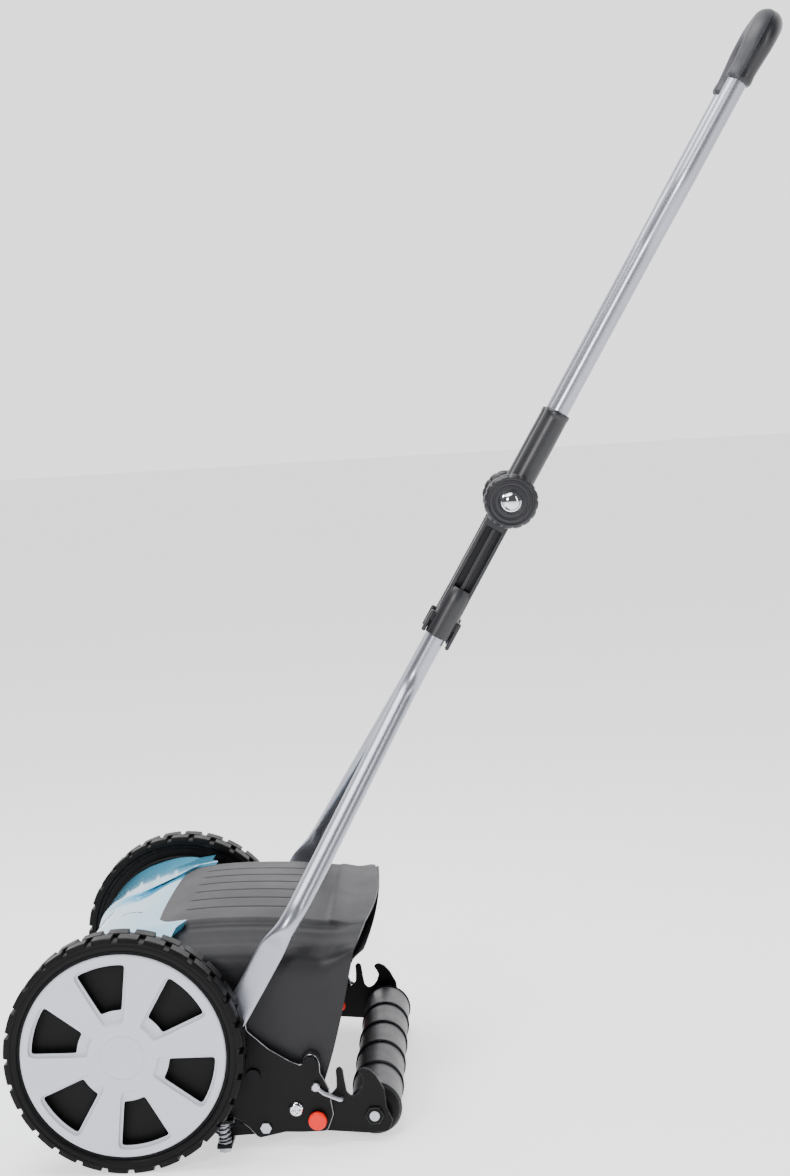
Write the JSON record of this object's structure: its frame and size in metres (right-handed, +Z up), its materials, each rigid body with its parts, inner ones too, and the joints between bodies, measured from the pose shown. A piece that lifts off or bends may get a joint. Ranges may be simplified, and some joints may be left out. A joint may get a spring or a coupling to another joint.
{
  "type": "reel mower",
  "caption": "Hand-pushed reel mower: two spoked-look wheels drive a helical reel against a bed knife, with rear roller, cover and folding tube handle.",
  "frame": {"origin": "on the ground under the middle of the wheel axle", "axes": "+X along the axle to the mower's left side, +Y to the rear where the handle is, +Z up"},
  "size_m": [0.515, 0.838, 1.1175],
  "materials": {
    "tyre": "matt moulded",
    "cap_grey": "satin moulded",
    "black_plastic": "satin moulded",
    "gear_plastic": "natural nylon",
    "blue_plastic": "gloss moulded",
    "charcoal_plastic": "fine grained",
    "roller_plastic": "satin moulded",
    "orange_plastic": "gloss moulded",
    "silver_tube": "silver powder coat",
    "black_steel": "black powder coat",
    "blade_steel": "ground",
    "zinc_steel": "zinc plated",
    "chrome": "bright chrome"
  },
  "bodies": {
    "frame": {"side_plate_left": "black_steel", "side_plate_right": "black_steel", "gear_housing_left": "black_plastic", "gear_housing_right": "black_plastic", "stub_axles": "zinc_steel", "axle_clips": "zinc_steel", "reel_bearings": "gear_plastic", "front_tie_bar": "black_steel", "rear_tie_bar": "black_steel", "tie_screws": "zinc_steel", "front_bonnet": "blue_plastic", "rear_cover": "charcoal_plastic", "cover_screws": "zinc_steel", "bracket_screws": "chrome", "knife_pivot_bolts": "zinc_steel", "handle_bolts": "zinc_steel"},
    "wheel_left": {"tyre_left": "tyre", "wheel_rim_left": "black_plastic", "hub_cap_left": "cap_grey", "ring_gear_left": "gear_plastic"},
    "wheel_right": {"tyre_right": "tyre", "wheel_rim_right": "black_plastic", "hub_cap_right": "cap_grey", "ring_gear_right": "gear_plastic"},
    "reel": {"reel_shaft": "zinc_steel", "reel_spiders": "black_steel", "reel_blades": "blade_steel", "drive_pawls": "blade_steel", "pinions": "gear_plastic"},
    "knife": {"knife_carrier": "black_steel", "bed_knife": "blade_steel", "adjuster_springs": "blade_steel"},
    "adjuster_left": {"adjuster_screw_left": "zinc_steel"},
    "adjuster_right": {"adjuster_screw_right": "zinc_steel"},
    "bracket": {"roller_arm_left": "black_steel", "roller_arm_right": "black_steel", "height_links": "zinc_steel", "roller_axle": "zinc_steel", "roller_nuts": "zinc_steel"},
    "roller": {"roller_shells": "roller_plastic", "roller_core": "black_plastic"},
    "button_left": {"height_button_left": "orange_plastic"},
    "button_right": {"height_button_right": "orange_plastic"},
    "lower_handle": {"lower_tube_left": "silver_tube", "lower_tube_right": "silver_tube", "lower_sleeve_left": "charcoal_plastic", "lower_sleeve_right": "charcoal_plastic", "fold_nuts": "zinc_steel"},
    "upper_handle": {"upper_sleeve_left": "charcoal_plastic", "upper_sleeve_right": "charcoal_plastic", "upper_tube_left": "silver_tube", "upper_tube_right": "silver_tube", "grip_front": "charcoal_plastic", "grip_rear": "charcoal_plastic"},
    "knob_left": {"fold_knob_left": "charcoal_plastic", "fold_bolt_left": "chrome"},
    "knob_right": {"fold_knob_right": "charcoal_plastic", "fold_bolt_right": "chrome"}
  },
  "joints": [
    {"name": "wheel_left_spin", "type": "hinge", "parent": "frame", "child": "wheel_left", "pos_m": [0, 0, 0.118], "axis": [1, 0, 0], "continuous": true},
    {"name": "wheel_right_spin", "type": "hinge", "parent": "frame", "child": "wheel_right", "pos_m": [0, 0, 0.118], "axis": [1, 0, 0], "continuous": true},
    {"name": "reel_spin", "type": "hinge", "parent": "frame", "child": "reel", "pos_m": [0, 0.03385, 0.09313], "axis": [1, 0, 0], "continuous": true},
    {"name": "knife_adjust", "type": "hinge", "parent": "frame", "child": "knife", "pos_m": [0, 0.1295, 0.021], "axis": [1, 0, 0], "range_deg": [0, 2], "stiffness_Nm_per_rad": 40, "springref_deg": -2.86, "deforming": ["adjuster_springs"]},
    {"name": "adjuster_left_turn", "type": "hinge", "parent": "knife", "child": "adjuster_left", "pos_m": [0.2073, 0.088, 0.02], "axis": [0, 0, 1], "range_deg": [-360, 360]},
    {"name": "adjuster_right_turn", "type": "hinge", "parent": "knife", "child": "adjuster_right", "pos_m": [-0.2073, 0.088, 0.02], "axis": [0, 0, 1], "range_deg": [-360, 360]},
    {"name": "cut_height", "type": "hinge", "parent": "frame", "child": "bracket", "pos_m": [0, 0.161, 0.0385], "axis": [1, 0, 0], "range_deg": [-24, 0]},
    {"name": "roller_spin", "type": "hinge", "parent": "bracket", "child": "roller", "pos_m": [0, 0.239, 0.027], "axis": [1, 0, 0], "continuous": true},
    {"name": "button_left_press", "type": "slide", "parent": "frame", "child": "button_left", "axis": [-1, 0, 0], "range_m": [0, 0.0035], "stiffness_N_per_m": 400, "springref_m": -0.002},
    {"name": "button_right_press", "type": "slide", "parent": "frame", "child": "button_right", "axis": [1, 0, 0], "range_m": [0, 0.0035], "stiffness_N_per_m": 400, "springref_m": -0.002},
    {"name": "handle_tilt", "type": "hinge", "parent": "frame", "child": "lower_handle", "pos_m": [0, 0.105, 0.1355], "axis": [1, 0, 0], "range_deg": [0, 38]},
    {"name": "handle_fold", "type": "hinge", "parent": "lower_handle", "child": "upper_handle", "pos_m": [0, 0.4127, 0.6279], "axis": [1, 0, 0], "range_deg": [0, 150]},
    {"name": "knob_left_turn", "type": "hinge", "parent": "lower_handle", "child": "knob_left", "pos_m": [0, 0.4127, 0.6279], "axis": [1, 0, 0], "range_deg": [0, 360]},
    {"name": "knob_right_turn", "type": "hinge", "parent": "lower_handle", "child": "knob_right", "pos_m": [0, 0.4127, 0.6279], "axis": [1, 0, 0], "range_deg": [-360, 0]}
  ],
  "couplings": [
    {"joint": "wheel_right_spin", "follows": "wheel_left_spin", "ratio": 1},
    {"joint": "reel_spin", "follows": "wheel_left_spin", "ratio": 5}
  ]
}
